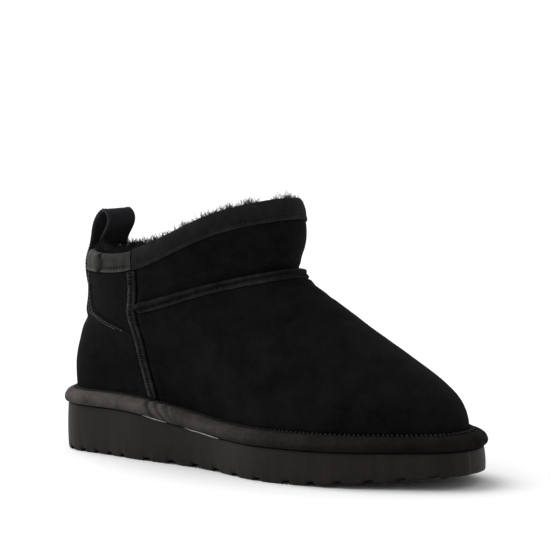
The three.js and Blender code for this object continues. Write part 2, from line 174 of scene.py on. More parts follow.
def breadth(side):
    u = np.array(FOOTPRINT["x"]) / SOLE_LENGTH
    k = np.array(FOOTPRINT[side]) / (2 * np.sqrt(u * (1 - u)))
    ends = [math.sqrt(r * SOLE_LENGTH / 2) for r in (HEEL_RADIUS, TOE_RADIUS[side])]
    return spline([0, *u, 1], [ends[0], *k, ends[1]])


BREADTH = {side: breadth(side) for side in ("lateral", "medial")}
RING = {name: spline(UPPER_RINGS["t"], values) for name, values in UPPER_RINGS.items() if name != "t"}
seam_x = spline(SIDE_SEAM["t"], SIDE_SEAM["x"])


def half_width(u, a):
    return np.where(np.sin(a) >= 0, BREADTH["lateral"](u), BREADTH["medial"](u))


def edge(a, offset=0.0):
    """Plan point of the sole's upper edge, moved outwards. Angle 0 is the heel and pi the toe."""
    a = np.asarray(a, float)

    def at(b):
        u = (1 - np.cos(b)) / 2
        return np.stack([SOLE_LENGTH * u, -half_width(u, b) * np.sin(b)], -1)

    way = at(a + 1e-3) - at(a - 1e-3)
    way /= np.linalg.norm(way, axis=-1, keepdims=True)
    return at(a) + np.stack([way[..., 1], -way[..., 0]], -1) * np.asarray(offset)[..., None]


def upper_point(t, a):
    t, a = np.broadcast_arrays(np.asarray(t, float), np.asarray(a, float))
    u = (1 - np.cos(a)) / 2
    oval = np.clip(RING["oval"](t), 0, 1)
    wide = np.where(np.sin(a) >= 0, RING["lateral"](t), RING["medial"](t))
    level = RING["level"](t)
    climb = np.clip(u - level * np.sin(2 * np.pi * u) / (2 * np.pi), 0, 1)
    chord = sole_top(0) + (sole_top(SOLE_LENGTH) - sole_top(0)) * u
    sag = (1 - oval) * (sole_top(SOLE_LENGTH * u) - chord)
    back_x, back_z = RING["back_x"](t), RING["back_z"](t)
    return np.stack(
        [
            back_x + (RING["front_x"](t) - back_x) * u,
            -((1 - oval) * (half_width(u, a) - UPPER_INSET) + oval * wide) * np.sin(a),
            back_z + (RING["front_z"](t) - back_z) * climb ** RING["rise"](t) + sag,
        ],
        -1,
    )


def unit(v):
    return v / np.maximum(np.linalg.norm(v, axis=-1, keepdims=True), 1e-9)


def upper_normal(t, a):
    step = 1e-3
    up = upper_point(np.minimum(t + step, 1), a) - upper_point(np.maximum(t - step, 0), a)
    return unit(np.cross(upper_point(t, a + step) - upper_point(t, a - step), up))


def off_upper(t, a, out):
    """A point out along the normal, which lies level at the feather line and the rim."""
    t, a, out = np.broadcast_arrays(*(np.asarray(v, float) for v in (t, a, out)))
    n = upper_normal(t, a).copy()
    n[..., 2] *= smooth(t / 0.12) * smooth((1 - t) / 0.08)
    return upper_point(t, a) + unit(n) * out[..., None]


def seam_angle(t):
    back = RING["back_x"](t)
    return np.arccos(1 - 2 * (seam_x(t) - back) / (RING["front_x"](t) - back))


def binding_foot(a, drop=BINDING_DROP):
    """The t of a binding's lower edge at that angle."""
    below = 0.08
    return 1 - drop * below / np.linalg.norm(upper_point(1.0, a) - upper_point(1 - below, a), axis=-1)


def row(p):
    return (np.asarray(p, float) - MIDDLE) / 1000


# ---- meshes ----------------------------------------------------------------
def link(name, data):
    made = bpy.data.objects.new(name, data)
    bpy.context.scene.collection.objects.link(made)
    return made


def mesh_piece(name, points, faces, material, uv=None, replaces=(), shade=1.0):
    """A smooth-shaded mesh from points in millimetres, riding on the boot. Shade scales its colour."""
    mesh = bpy.data.meshes.new(name)
    points = row(np.asarray(points, float).reshape(-1, 3))
    faces = [np.asarray(f, np.int32) for f in faces]
    loops = np.concatenate([f.ravel() for f in faces])
    sizes = np.concatenate([np.full(len(f), f.shape[1], np.int32) for f in faces])
    mesh.vertices.add(len(points))
    mesh.vertices.foreach_set("co", points.astype(np.float32).ravel())
    mesh.loops.add(len(loops))
    mesh.loops.foreach_set("vertex_index", loops)
    mesh.polygons.add(len(sizes))
    mesh.polygons.foreach_set("loop_start", np.concatenate([[0], np.cumsum(sizes)[:-1]]).astype(np.int32))
    mesh.polygons.foreach_set("use_smooth", np.ones(len(sizes), bool))
    if uv is not None:
        layer = mesh.uv_layers.new(name="UVMap")
        layer.data.foreach_set("uv", np.asarray(uv, np.float32).reshape(-1, 2)[loops].ravel())
    tone = mesh.attributes.new("shade", "FLOAT", "POINT")
    values = np.broadcast_to(np.asarray(shade, np.float32).ravel(), len(points))
    tone.data.foreach_set("value", values.copy())
    mesh.update(calc_edges=True)
    mesh.validate()
    piece = link(name, mesh)
    mesh.materials.append(material)
    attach(piece, "root")
    if replaces:
        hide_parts(*replaces)
    return piece


def grid_faces(n, m, closed_n=False, closed_m=True, start=0):
    """Quads of an n by m grid of points, seen from outside with n to the right and m upwards."""
    i = np.arange(n if closed_n else n - 1)[:, None]
    j = np.arange(m if closed_m else m - 1)[None, :]
    i2, j2 = (i + 1) % n, (j + 1) % m
    quads = np.stack(np.broadcast_arrays(i * m + j, i2 * m + j, i2 * m + j2, i * m + j2), -1)
    return quads.reshape(-1, 4) + start


def loft(name, sections, material, closed=False, replaces=(), shade=1.0):
    """The solid through closed sections, an array (path, section point, 3)."""
    sections = np.asarray(sections, float)
    n, m = sections.shape[:2]
    faces = [grid_faces(n, m, closed_n=closed)]
    if not closed:
        faces += [np.arange(m)[None, ::-1], (n - 1) * m + np.arange(m)[None]]
    along = travelled(sections.mean(1))
    across = np.linalg.norm(np.diff(sections, axis=1), axis=-1).mean(0)
    across = np.concatenate([[0], np.cumsum(across)])
    uv = np.stack(np.meshgrid(along, across, indexing="ij"), -1)
    return mesh_piece(name, sections, faces, material, uv, replaces, shade)


def tubes(name, paths, radius, material, sides=5, taper=None):
    """Many threads in one mesh: paths is (thread, point, 3), radius one number or one for each thread."""
    paths = np.asarray(paths, float)
    count, length = paths.shape[:2]
    way = unit(np.gradient(paths, axis=1))
    helper = np.where(np.abs(way[..., 2:3]) > 0.9, [1.0, 0, 0], [0, 0, 1.0])
    side = unit(np.cross(way, helper))
    other = np.cross(way, side)
    profile = np.ones(length) if taper is None else np.asarray(taper, float)
    thick = np.broadcast_to(np.asarray(radius, float).reshape(-1, 1), (count, 1)) * profile
    turn = np.arange(sides) * 2 * np.pi / sides
    ring = (
        paths[:, :, None]
        + thick[:, :, None, None] * np.cos(turn)[:, None] * side[:, :, None]
        + thick[:, :, None, None] * np.sin(turn)[:, None] * other[:, :, None]
    )
    starts = (np.arange(count) * length * sides)[:, None, None]
    quads = (grid_faces(length, sides)[None] + starts).reshape(-1, 4)
    first = np.arange(sides)[::-1][None, None] + starts
    last = (length - 1) * sides + np.arange(sides)[None, None] + starts
    caps = np.concatenate([first.reshape(-1, sides), last.reshape(-1, sides)])
    return mesh_piece(name, ring, [quads, caps], material)


# ---- materials -------------------------------------------------------------
class Surface:
    """A procedural material: a principled shader with a few chains of texture nodes into it."""

    def __init__(self, name, **sockets):
        self.material = bpy.data.materials.new(name)
        self.material.use_nodes = True
        self.tree = self.material.node_tree
        self.shader = self.tree.nodes["Principled BSDF"]
        for key, value in sockets.items():
            self.shader.inputs[key.replace("_", " ")].default_value = value
        self.place = self.tree.nodes.new("ShaderNodeTexCoord").outputs["Object"]
        self.uv = self.place.node.outputs["UV"]

    def node(self, kind, inputs=None, **settings):
        made = self.tree.nodes.new("ShaderNode" + kind)
        for key, value in settings.items():
            setattr(made, key, value)
        for key, value in (inputs or {}).items():
            if isinstance(value, bpy.types.NodeSocket):
                self.tree.links.new(value, made.inputs[key])
            else:
                made.inputs[key].default_value = value
        return made

    def noise(self, size_mm, detail=2.0, roughness=0.5, vector=None):
        """Noise from 0 to 1 with features of that size."""
        inputs = {
            "Vector": vector or self.place,
            "Scale": 1000 / size_mm,
            "Detail": detail,
            "Roughness": roughness,
        }
        return self.node("TexNoise", inputs).outputs["Fac"]

    def ramp(self, value, stops):
        made = self.node("ValToRGB", {"Fac": value})
        elements = made.color_ramp.elements
        while len(elements) < len(stops):
            elements.new(0.5)
        for element, (at, colour) in zip(elements, stops):
            element.position = at
            element.color = (*colour, 1)
        return made.outputs["Color"]

    def math(self, operation, a, b):
        return self.node("Math", {0: a, 1: b}, operation=operation).outputs[0]

    def blend(self, *parts):
        """The sum of values by weight."""
        total = None
        for value, weight in parts:
            scaled = self.math("MULTIPLY", value, weight)
            total = scaled if total is None else self.math("ADD", total, scaled)
        return total

    def colour(self, value, stops):
        """The base colour by that value, scaled by the mesh's own shade."""
        shade = self.node("Attribute", attribute_name="shade").outputs["Fac"]
        inputs = {"Vector": self.ramp(value, stops), "Scale": shade}
        scaled = self.node("VectorMath", inputs, operation="SCALE")
        self.tree.links.new(scaled.outputs[0], self.shader.inputs["Base Color"])

    def relief(self, height, depth_mm, strength=1.0):
        made = self.node("Bump", {"Height": height, "Distance": depth_mm / 1000, "Strength": strength})
        normal = self.shader.inputs["Normal"]
        if normal.is_linked:
            self.tree.links.new(normal.links[0].from_socket, made.inputs["Normal"])
        self.tree.links.new(made.outputs["Normal"], normal)


def suede(name, dark, light, nap=0.16, sheen=0.004):
    """Napped split leather: soft mottling where the nap lies differently, and a fine felted grain."""
    s = Surface(name, Roughness=0.95, Specular_IOR_Level=0.03, Sheen_Weight=sheen, Sheen_Roughness=0.45)
    patches = s.noise(14, 3, 0.6)
    strokes = s.noise(2.6, 4, 0.65)
    fibre = s.noise(0.45, 3, 0.7)
    mix = s.blend((patches, 0.5), (strokes, 0.3), (fibre, 0.2))
    s.colour(mix, [(0.36, dark), (0.64, light)])
    s.relief(fibre, nap)
    s.relief(strokes, nap * 1.2, 0.5)
    return s.material


def tape(name, dark, light):
    """Woven tape: a fine twill on UVs in millimetres."""
    s = Surface(name, Roughness=0.9, Specular_IOR_Level=0.06, Sheen_Weight=0.006, Sheen_Roughness=0.5)
    uv = s.node("Mapping", {"Vector": s.uv, "Rotation": (0, 0, math.radians(52))}).outputs[0]
    weave = {"Vector": uv, "Scale": 0.55, "Distortion": 1.2, "Detail": 2, "Detail Scale": 3}
    twill = s.node("TexWave", weave).outputs["Fac"]
    fuzz = s.noise(0.7, 3, 0.7)
    patches = s.noise(6, 3, 0.6)
    mix = s.blend((twill, 0.4), (fuzz, 0.35), (patches, 0.25))
    s.colour(mix, [(0.3, dark), (0.7, light)])
    s.relief(twill, 0.12)
    s.relief(fuzz, 0.12, 0.6)
    return s.material


def wool(name, dark, light):
    """Curly fleece seen close: clumps with fine fibre over them."""
    s = Surface(name, Roughness=0.9, Specular_IOR_Level=0.06, Sheen_Weight=0.01, Sheen_Roughness=0.4)
    curl = s.noise(3.2, 3, 0.6)
    fine = s.noise(0.6, 3, 0.7)
    s.colour(s.blend((curl, 0.7), (fine, 0.3)), [(0.32, dark), (0.68, light)])
    s.relief(curl, 0.9, 0.7)
    s.relief(fine, 0.25, 0.7)
    return s.material


def thread(name, dark, light):
    s = Surface(name, Roughness=0.7, Specular_IOR_Level=0.15, Sheen_Weight=0.005)
    ply = s.noise(0.5, 2, 0.5)
    s.colour(ply, [(0.35, dark), (0.65, light)])
    s.relief(ply, 0.08)
    return s.material


def moulded(name, dark, light):
    """Matt foam rubber: fine closed-cell grain and faint upright flow marks."""
    s = Surface(name, Roughness=0.6, Specular_IOR_Level=0.14)
    upright = s.node("Mapping", {"Vector": s.place, "Scale": (1, 1, 0.12)}).outputs[0]
    flow = s.noise(5, 3, 0.6, upright)
    grain = s.noise(0.5, 2, 0.6)
    patches = s.noise(26, 3, 0.55)
    mix = s.blend((patches, 0.45), (flow, 0.35), (grain, 0.2))
    s.colour(mix, [(0.34, dark), (0.66, light)])
    s.relief(grain, 0.06)
    s.relief(flow, 0.15, 0.35)
    return s.material


BLACK_SUEDE = suede("black_suede", (0.0026, 0.0026, 0.0027), (0.0074, 0.0073, 0.0074))
LOOP_SUEDE = suede("loop_suede", (0.0150, 0.0136, 0.0155), (0.0270, 0.0247, 0.0278))
# Painted highlight: the black suede made lighter for the raised piping and seam strips.
LIT_STRIP_SUEDE = suede("lit_strip_suede", (0.0042, 0.0041, 0.0041), (0.0115, 0.0112, 0.0110))
FOXING_SUEDE = suede("foxing_suede", (0.0135, 0.0122, 0.0115), (0.0330, 0.0298, 0.0280))
COLLAR_TAPE = tape("collar_tape", (0.0052, 0.0051, 0.0051), (0.0140, 0.0136, 0.0136))
# Painted light: the heel's binding tape made lighter than the collar's, where the key light falls over the
# heel.
LIT_HEEL_TAPE = tape("heel_tape", (0.0120, 0.0118, 0.0115), (0.0400, 0.0390, 0.0375))
FLEECE = wool("black_fleece", (0.0075, 0.0072, 0.0074), (0.0330, 0.0315, 0.0320))
THREAD = thread("black_thread", (0.0070, 0.0068, 0.0066), (0.0240, 0.0230, 0.0225))
FOXING_THREAD = thread("foxing_thread", (0.0100, 0.0095, 0.0090), (0.0360, 0.0340, 0.0330))
PALE_THREAD = thread("grey_thread", (0.0300, 0.0290, 0.0280), (0.1050, 0.1020, 0.0990))
FOAM = moulded("sole_foam", (0.0062, 0.0048, 0.0041), (0.0158, 0.0125, 0.0109))
GLUE = thread("glue_line", (0.2000, 0.1900, 0.1750), (0.4200, 0.4000, 0.3800))


# ---- sole ------------------------------------------------------------------
def groove_depth(x):
    """Depth of the tread's transverse grooves, with nearly upright walls."""
    depth = np.zeros_like(x)
    for middle, width in NOTCHES:
        away = np.abs(x - middle) - width / 2
        depth = np.maximum(depth, smooth(0.5 - away / NOTCH_WALL) * NOTCH_DEPTH)
    return depth


def sole_stations():
    """Angles for the slices, with three more at each notch's two sides."""
    marks = [np.linspace(0, np.pi, 260)]
    for middle, width in NOTCHES:
        for side in (-1, 1):
            spots = middle + side * width / 2 + np.array([-0.32, 0, 0.32])
            marks.append(np.arccos(1 - 2 * spots / SOLE_LENGTH))
    return np.unique(np.concatenate(marks))


def outsole():
    """Slices across the sole, from the lateral top edge down, under the tread and up the medial side."""
    a = sole_stations()
    wall = (0.15, 0.3, 0.45, 0.6, 0.75, 0.88, 0.96)  # up from the tread
    inward = (2, 5, 8, NOTCH_REACH - 1, NOTCH_REACH + 0.6, 16, 24)

    def side(sign, share, inset, lift):
        flat = edge(sign * a, -inset)
        x = flat[..., 0]
        low = sole_bottom(x) + groove_depth(x)
        z = low + (sole_top(x) - low) * share + lift
        wave = 0.12 * noise(np.stack([x, flat[..., 1], z], -1), 9)
        x = x + SOLE_FLARE * (1 - share) * x / SOLE_LENGTH
        y = flat[..., 1] + wave * np.where(np.abs(np.sin(a)) > 0.05, 1, 0) * np.sign(flat[..., 1])
        return np.stack([x, y, z], -1)

    def wall_side(sign):
        rows = [side(sign, 0, 1.3, 0), side(sign, 0, 0.4, 0.35), side(sign, 0.0, 0.0, 1.3)]
        rows += [side(sign, s, -0.35 * np.sin(np.pi * s), 0) for s in wall]
        return rows + [side(sign, 1, 0.25, -0.25), side(sign, 1, 1.2, 0)]

    lateral, medial = wall_side(1), wall_side(-1)
    near, far = lateral[0], medial[0]

    def under(start, end):
        """Points across the tread from one edge; the notches end a little way in, in shallow channels."""
        points = []
        for d in inward:
            share = np.minimum(d / np.maximum(np.abs(end[:, 1] - start[:, 1]), 1e-6), 0.46)
            p = start + (end - start) * share[:, None]
            cut = 1 if d < NOTCH_REACH else CHANNEL_SHARE
            p[:, 2] = sole_bottom(start[:, 0]) + cut * groove_depth(start[:, 0])
            points.append(p)
        return points

    low = under(near, far) + under(far, near)[::-1]
    top = [lateral[-1] * (1 - s) / 2 + medial[-1] * (1 + s) / 2 for s in (0.6, 0, -0.6)]
    loop = np.stack(lateral[::-1] + low + medial + top, 1)[::-1, ::-1]
    # Painted shade: the sole's wall darker around its waist, where the wall turns away from the light.
    shade = 1 - 0.3 * bump(loop[..., 0] - 108, 34)
    return loft("outsole_block", loop, FOAM, replaces=("outsole",), shade=shade)


# ---- upper -----------------------------------------------------------------
def from_heel(s):
    """0 at the heel, 1 at either seam and 2 at the toe."""
    return np.where(s <= 2, s, 4 - s)


def panel_angle(s, t):
    """s runs 0 at the heel, 1 at the lateral seam, 2 at the toe, 3 at the medial seam and 4 at the heel."""
    seam = seam_angle(np.clip(t, 0.02, 1))
    lap = from_heel(s)
    a = np.where(lap <= 1, lap * seam, seam + (lap - 1) * (np.pi - seam))
    return np.where(s <= 2, a, 2 * np.pi - a)


# Soft troughs (negative) and ridges on the outside: where each is centred on the panels (s, t), how far it
# reaches along and across itself in millimetres, its slope against the rings in degrees, and its height.
CREASES = [
    (2.00, 0.775, 26, 3.2, 0, -0.5),
    (1.62, 0.765, 22, 2.6, 4, -0.5),
    (2.40, 0.765, 22, 2.6, -4, -0.5),
    (1.86, 0.655, 13, 2.4, 14, -0.45),
    (2.12, 0.650, 14, 2.6, -10, -0.5),
    (1.95, 0.615, 18, 3.2, 4, 0.35),
]
# These lie on both sides of the boot.
PAIRED = [
    (1.30, 0.640, 12, 2.6, 30, -0.4),
    (1.45, 0.30, 26, 6.0, 18, -0.45),
    (0.55, 0.66, 15, 3.4, 6, -0.7),
    (0.00, 0.70, 17, 3.0, 0, -0.5),
    (1.20, 0.90, 20, 5.0, 12, -0.4),
]
for s, t, along, across, slope, height in PAIRED:
    CREASES += [(s, t, along, across, slope, height), (4 - s, t, along, across, -slope, height)]


def mm_per_radian(t, a):
    step = 1e-3
    return np.linalg.norm(upper_point(t, a + step) - upper_point(t, a - step), axis=-1) / (2 * step)


def mm_per_t(t, a):
    """Millimetres up the upper for a unit of t."""
    step = 2e-3
    low, high = np.maximum(t - step, 0), np.minimum(t + step, 1)
    return np.linalg.norm(upper_point(high, a) - upper_point(low, a), axis=-1) / (high - low)


# The counter's edge on the back panel, s against t, from the side seam up to the strap under the pull loop.
COUNTER_EDGE = {
    "t": (0.48, 0.515, 0.578, 0.650, 0.705, 0.745, 0.785, 0.83, 0.93),
    "s": (1.10, 1.0, 0.90, 0.79, 0.68, 0.585, 0.53, 0.50, 0.50),
}
COUNTER_ROWS = (2.6, 5.0)  # its stitch rows, in millimetres from the edge
counter_s = spline(COUNTER_EDGE["t"], COUNTER_EDGE["s"])


def counter_scale(t, a):
    """Millimetres off the counter's edge for a unit of s at that level."""
    step = 1e-3
    per_lap = seam_angle(t) * mm_per_radian(t, a)
    slope = (counter_s(t + step) - counter_s(t - step)) / (2 * step) * per_lap / mm_per_t(t, a)
    return per_lap / np.sqrt(1 + slope**2)


def crease_relief(p):
    total = 0
    for s, t, along, across, slope, height in CREASES:
        angle = panel_angle(np.array(s), np.array(t))
        n = upper_normal(t, angle)
        level = unit(np.cross([0, 0, 1.0], n))
        steep = np.cross(n, level)
        away = p - upper_point(t, angle)
        turn = math.radians(slope)
        lengthwise = bump(away @ (level * math.cos(turn) + steep * math.sin(turn)), along)
        crosswise = bump(away @ (steep * math.cos(turn) - level * math.sin(turn)), across)
        near = bump(away @ n, 30)  # keeps a crease off the far side of the boot
        total = total + height * lengthwise * crosswise * near
    return total


def seam_relief(t, a):
    """Pulled in beside the side seams, and a soft roll in front of them."""
    wrapped = np.where(a <= np.pi, a, 2 * np.pi - a)
    past = (wrapped - seam_angle(np.clip(t, 0.02, 1))) * mm_per_radian(t, a)
    return 0.35 * bump(past - 6.5, 3.0) - 0.75 * bump(past - 2.9, 1.0) - 0.35 * bump(past + 2.8, 1.0)


def piping_relief(above):
    """The front's stitched groove under the piping, and the roll of each panel beside it."""
    return 0.9 * bump(above + 7.5, 3.4) + 0.5 * bump(above - 6.5, 3.0) - 0.5 * bump(above + 3.4, 0.9)


def counter_relief(below):
    """The counter is a second layer with a turned edge, drawn in along its stitch rows."""
    layer = 0.6 * smooth(0.5 + below / 0.9)
    turned = 0.35 * bump(below - 0.9, 0.9) - 0.4 * bump(below + 0.7, 0.7)
    return layer + turned - 0.22 * sum(bump(below - row_at, 0.45) for row_at in COUNTER_ROWS)


def relief(s, t, a, p):
    """How far the suede stands off the upper's plain surface."""
    plain = 0.3 * noise(p, 24) + 0.12 * noise(p, 9) + 0.04 * noise(p, 3.5)
    lap = from_heel(s)
    rate = mm_per_t(t, a)
    front = smooth((lap - 1.02) / 0.03) * piping_relief((t - PIPING_T) * rate)
    level = np.clip(t, 0.49, 0.925)
    below = (counter_s(level) - lap) * counter_scale(level, a)
    back = smooth((1.0 - lap) / 0.05) * counter_relief(below)
    under_binding = 0.4 * smooth((t - binding_foot(a)) * rate / 1.5)
    on_foxing = 0.3 * smooth((FOXING_TOP_T + 0.015 - t) / 0.02)
    return plain + crease_relief(p) + seam_relief(t, a) + front + back - under_binding - on_foxing


def upper_shell():
    back = np.concatenate([np.linspace(0, 0.86, 34), np.linspace(0.88, 1, 13)[:-1]])
    front = np.concatenate([np.linspace(1, 1.1, 22)[:-1], np.linspace(1.1, 2, 120)])
    half = np.concatenate([back, front])
    s = np.concatenate([half, 4 - half[1:-1][::-1]])
    spans = ((0, 0.08, 5), (0.08, 0.62, 96), (0.62, 0.8, 54), (0.8, 1, 34))
    rows = np.concatenate([np.linspace(*span)[:-1] for span in spans] + [[1.0]])
    s, t = s[:, None], rows[None]
    a = panel_angle(s, t)
    plain = upper_point(t, a)
    outer = off_upper(t, a, relief(s, t, a, plain))
    inner_t = np.linspace(1, 0, 14)[None]
    inner = off_upper(inner_t, panel_angle(s, inner_t), -SUEDE)
    loop = np.concatenate([outer, inner], 1)
    return loft("upper_suede", loop, BLACK_SUEDE, closed=True, replaces=("upper",))


def fleece_lining():
    a = np.linspace(0, 2 * np.pi, 241)[:-1][:, None]
    t = np.linspace(0.99, 0.0, 90)[None]
    depth = -UPPER_WALL + 0.4
    face = off_upper(t, a, depth)
    curls = 0.9 * np.abs(noise(face, 5.5)) + 0.55 * noise(face, 2.6) + 0.8 * noise(face, 11)
    inner = off_upper(t, a, depth - curls)
    back_t = np.linspace(0.0, 0.985, 12)[None]
    outer = off_upper(back_t, a, -SUEDE - 0.1)
    return loft("fleece_lining", np.concatenate([outer, inner], 1), FLEECE, closed=True)


def insole():
    """The footbed's side, then rings closing in on its middle line."""
    a = np.linspace(0, 2 * np.pi, 161)[:-1]
    reach = UPPER_WALL + 0.4
    rows = []
    for lift, extra in ((0.3, 0), (2.5, 0), (4.2, 0.4), (5.0, 1.6)):
        p = off_upper(FOXING_TOP_T * lift / FOXING_HEIGHT, a, -reach - extra)
        rows.append(np.stack([p[..., 0], p[..., 1], sole_top(p[..., 0]) + lift], -1))
    rim = rows[-1]
    middle = np.stack([rim[..., 0], np.full(len(a), -0.5), rim[..., 2]], -1)
    for share in np.linspace(0, 1, 24)[1:-1]:
        p = rim * (1 - share) + middle * share
        p[..., 2] = sole_top(p[..., 0]) + 5.0 + 0.5 * noise(p, 4) + 0.4 * np.abs(noise(p, 2.2))
        rows.append(p)
    points = np.stack(rows, 1)
    faces = [grid_faces(len(a), len(rows), closed_n=True, closed_m=False)]
    m = len(rows)
    half = len(a) // 2
    i = np.arange(half)
    top = np.stack([i * m, (i + 1) * m, ((-i - 1) % len(a)) * m, ((-i) % len(a)) * m], -1) + m - 1
    low = top - (m - 1)
    faces += [top[1:-1], low[1:-1, ::-1], top[[0]][:, :3], top[[-1]][:, [0, 1, 3]]]
    faces += [low[[0]][:, 2::-1], low[[-1]][:, [3, 1, 0]]]
    return mesh_piece("insole_fleece", points, faces, FLEECE, replaces=("insole",))


# ---- strips over the upper -------------------------------------------------
def over_upper(t, a, sideways, out, along):
    """A point moved sideways over the upper, along t for a strip that goes round it and along the angle for
    one that climbs it, then out along the normal."""
    if along == "t":
        step = 1e-3
        speed = np.linalg.norm(upper_point(t + step, a) - upper_point(t - step, a), axis=-1) / (2 * step)
        return off_upper(t + sideways / speed, a, out)
    return off_upper(t, a + sideways / mm_per_radian(t, a), out)


# Sections of the piping and the side seams: across the strip in millimetres (below the line or toward the
# heel is negative), the height there, and the painted light there: lighter for painted highlights on the
# crests and raised edges, darker for painted shade in the grooves and under the roll.
PIPING_SECTION = [
    (-3.2, 0.3, 1.6), (-3.0, 0.95, 2.4), (-2.3, 1.45, 2.0), (-1.6, 1.5, 1.2), (-1.0, 1.8, 0.6),
    (-0.4, 2.5, 0.8), (0.4, 3.05, 1.5), (1.3, 3.2, 1.9), (2.2, 2.85, 1.4), (2.9, 2.0, 0.7),
    (3.1, 0.9, 0.4), (2.4, 0.1, 0.4), (0.0, 0.0, 0.4), (-2.0, 0.1, 0.4),
]
SEAM_SECTION = [
    (-2.9, 0.1, 1.0), (-2.85, 0.9, 2.6), (-2.4, 1.6, 5.0), (-1.7, 1.75, 4.4), (-1.0, 1.45, 1.8),
    (-0.3, 1.1, 0.7), (0.5, 1.15, 1.0), (1.3, 1.4, 1.9), (2.1, 1.35, 2.6), (2.7, 0.85, 1.6),
    (2.9, 0.1, 0.7), (0.0, -0.1, 0.7),
]
PIPING_STITCHES = 118
SEAM_STITCHES = 46


def piping():
    """A rolled edge above, and a flatter whip-stitched flange below it."""
    start = float(seam_angle(PIPING_T)) + math.radians(2.4)
    a = np.linspace(start, 2 * np.pi - start, 420)
    rows = []
    fade = smooth((a - start) / 0.06) * smooth((2 * np.pi - start - a) / 0.06)
    for across, height, _ in PIPING_SECTION:
        p = over_upper(PIPING_T, a, across, height, "t")
        wobble = 0.13 * noise(p, 3.0) + 0.10 * noise(p, 8.0)
        narrow, low = across * (0.75 + 0.25 * fade), height * (0.6 + 0.4 * fade)
        rows.append(over_upper(PIPING_T, a, narrow, low + wobble, "t"))
    loop = np.stack(rows, 1)
    # Painted highlights on the roll's crest and the flange's edge, painted shade in the groove and under
    # the roll.
    painted_light = np.array([light for _, _, light in PIPING_SECTION])
    shade = painted_light * (1 + 0.35 * noise(loop, 1.6) + 0.2 * noise(loop, 5))
    loft("vamp_piping_roll", loop, LIT_STRIP_SUEDE, replaces=("vamp_piping",), shade=shade)
    rng = np.random.default_rng(9)
    count = PIPING_STITCHES
    arc = np.linspace(start + 0.03, 2 * np.pi - start - 0.03, count)
    reach, lean = rng.uniform(1.6, 2.7, count), rng.uniform(0.004, 0.014, count)
    paths = []
    for share in np.linspace(0, 1, 5):
        across = -3.0 + reach * share
        height = 0.75 + 0.95 * math.sin(math.pi * (0.2 + 0.6 * share)) + rng.normal(0, 0.05, count)
        paths.append(over_upper(PIPING_T, arc + lean * share, across, height, "t"))
    tubes("piping_stitches", np.stack(paths, 1), 0.22, THREAD)


def side_seam(sign, name):
    """Two edges drawn together under whip stitches; the one toward the heel stands higher."""
    t = np.linspace(FOXING_TOP_T + 0.012, float(binding_foot(seam_angle(1.0))) - 0.006, 300)
    a = sign * seam_angle(t)
    rows = []
    for across, height, _ in SEAM_SECTION:
        p = over_upper(t, a, sign * across, height, "angle")
        bumps = 0.22 * noise(p, 1.9) + 0.12 * noise(p, 5)
        rows.append(over_upper(t, a, sign * across, height + bumps, "angle"))
    loop = np.stack(rows, 1)
    # Painted highlights on both raised edges, strongest on the one toward the heel, painted shade in the
    # groove between.
    painted_light = np.array([light for _, _, light in SEAM_SECTION])
    shade = painted_light * (1 + 0.6 * noise(loop, 1.6) + 0.3 * noise(loop, 4))
    way = slice(None, None, -1) if sign > 0 else slice(None)
    node = "side_seam_" + name.split("_")[0]
    loft(name, loop[:, way], LIT_STRIP_SUEDE, replaces=(node,), shade=shade[:, way])
    count = SEAM_STITCHES
    rng = np.random.default_rng(5 + sign)
    spots = np.linspace(t[0] + 0.006, t[-1] - 0.006, count)
    end = rng.uniform(0.2, 1.3, count)
    paths = []
    for share in np.linspace(0, 1, 6):
        across = sign * (-2.6 + (2.0 + end) * share)
        height = 0.95 + 0.85 * math.sin(math.pi * (0.12 + 0.7 * share)) ** 0.8
        when = spots + (0.007 + rng.normal(0, 0.0004, count)) * share + rng.normal(0, 0.0005, count)
        paths.append(over_upper(when, sign * seam_angle(when), across, height, "angle"))
    tubes(name + "_stitches", np.stack(paths, 1), 0.2, THREAD)


def counter_stitches():
    """Two rows of lockstitch inside the counter's edge, on both sides of the heel."""
    level = np.linspace(0.92, 0.525, 400)
    paths = []
    for depth in COUNTER_ROWS:
        a = counter_s(level) * seam_angle(level)
        lap = counter_s(level) - depth / counter_scale(level, a)
        a = lap * seam_angle(level)
        walk = travelled(upper_point(level, a))
        starts = np.arange(1.0, walk[-1] - 3, 2.5)
        for medial in (False, True):
            stitch = []
            for share in np.linspace(0, 1, 4):
                when = starts + 1.75 * share
                t, s = np.interp(when, walk, level), np.interp(when, walk, lap)
                s = 4 - s if medial else s
                angle = panel_angle(s, t)
                stand = relief(s, t, angle, upper_point(t, angle)) + 0.05 + 0.2 * math.sin(math.pi * share)
                stitch.append(off_upper(t, angle, stand))
            paths.append(np.stack(stitch, 1))
    tubes("counter_stitches", np.concatenate(paths), 0.24, PALE_THREAD)


# ---- foxing ----------------------------------------------------------------
def foxing_section(a, across, up, swell=0.0):
    """across 0 is the upper's face and 1 the overhang; up 0 is the sole and 1 the band's top."""
    inner = off_upper(FOXING_TOP_T * np.clip(up, 0, 1.1), a, 0.3)
    rim = edge(a, FOXING_OVERHANG + swell)
    plan = inner[..., :2] + (rim - inner[..., :2]) * np.asarray(across)[..., None]
    foot = sole_top(np.clip(plan[..., 0], 0, SOLE_LENGTH)) + 0.3
    return np.concatenate([plan, (foot + FOXING_HEIGHT * up)[..., None]], -1)


FOXING_LAP = 84.0  # station of the band's overlap on the lateral side
FOXING_PROFILE = [
    (0.0, 0.02), (0.45, 0.0), (0.80, 0.0), (0.93, 0.06), (0.985, 0.16), (1.0, 0.28), (0.995, 0.40),
    (0.965, 0.53), (0.910, 0.66), (0.82, 0.79), (0.70, 0.89), (0.57, 0.96), (0.45, 1.0), (0.36, 1.01),
    (0.28, 0.95), (0.22, 0.88), (0.17, 0.99), (0.11, 1.05), (0.05, 1.0), (0.0, 0.88),
]


